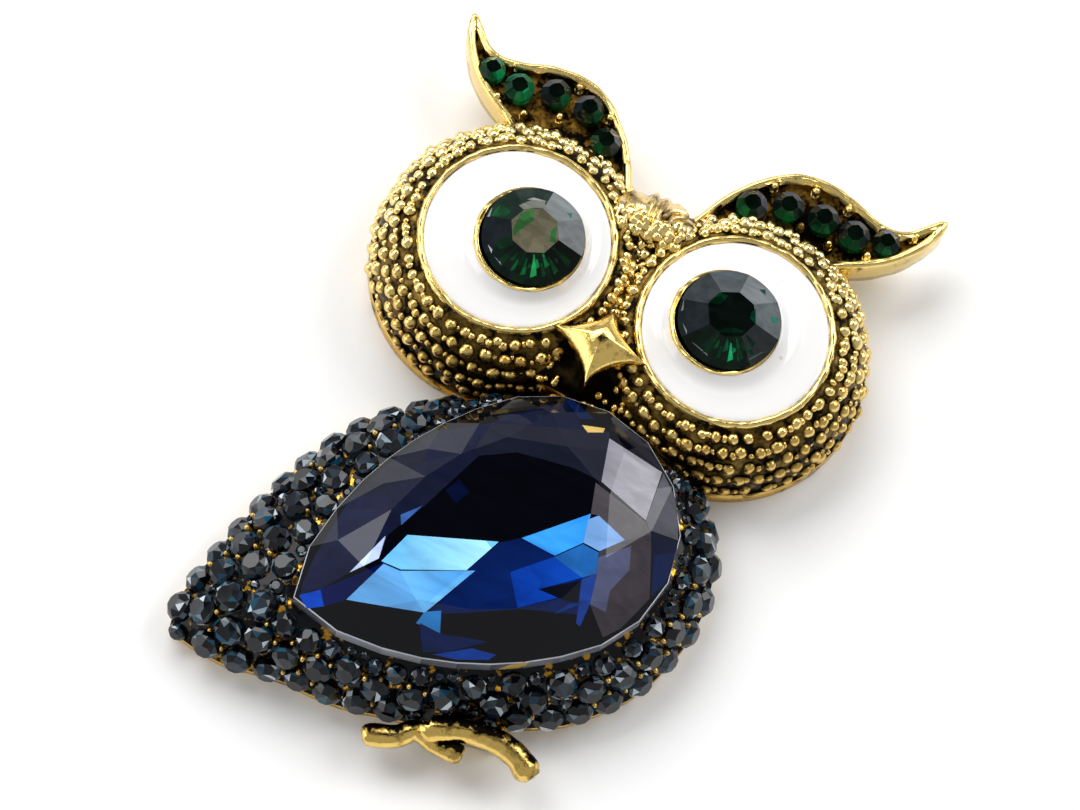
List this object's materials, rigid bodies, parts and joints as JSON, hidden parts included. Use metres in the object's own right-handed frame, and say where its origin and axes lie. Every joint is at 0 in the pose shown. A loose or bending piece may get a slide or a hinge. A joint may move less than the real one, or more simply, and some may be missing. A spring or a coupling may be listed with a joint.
{
  "type": "figural brooch",
  "caption": "Owl brooch lying face up: granulated gold casting with enamelled eyes, jewelled ears, a large pear-cut belly stone, a pavé body and a pin bar behind.",
  "frame": {"origin": "middle of the brooch's outline on the table it lies on, under its back", "axes": "+X the owl's left side as the viewer sees it to the right, +Y from the perch up to the ears, +Z out of the face, away from the table"},
  "size_m": [0.0359, 0.0472, 0.0092],
  "materials": {
    "antique_gold": "antique gold plate on a zinc casting, bright on the high parts with dark patina in the hollows",
    "white_enamel": "glossy white enamel",
    "eye_stone": "faceted dark green foil-backed glass",
    "ear_stone": "faceted dark green foil-backed glass",
    "belly_stone": "faceted deep blue foil-backed glass",
    "pave_stone": "small faceted blue-black glass stones",
    "plated_pin": "plain gold-plated steel wire and sheet"
  },
  "bodies": {
    "root": {"casting": "antique_gold", "enamel_left": "white_enamel", "enamel_right": "white_enamel", "eye_stone_left": "eye_stone", "eye_stone_right": "eye_stone", "ear_stone_left_1": "ear_stone", "ear_stone_left_2": "ear_stone", "ear_stone_left_3": "ear_stone", "ear_stone_left_4": "ear_stone", "ear_stone_left_5": "ear_stone", "ear_stone_right_1": "ear_stone", "ear_stone_right_2": "ear_stone", "ear_stone_right_3": "ear_stone", "ear_stone_right_4": "ear_stone", "ear_stone_right_5": "ear_stone", "belly_stone": "belly_stone", "pave_stones": "pave_stone", "pin_back": "plated_pin"}
  },
  "joints": []
}
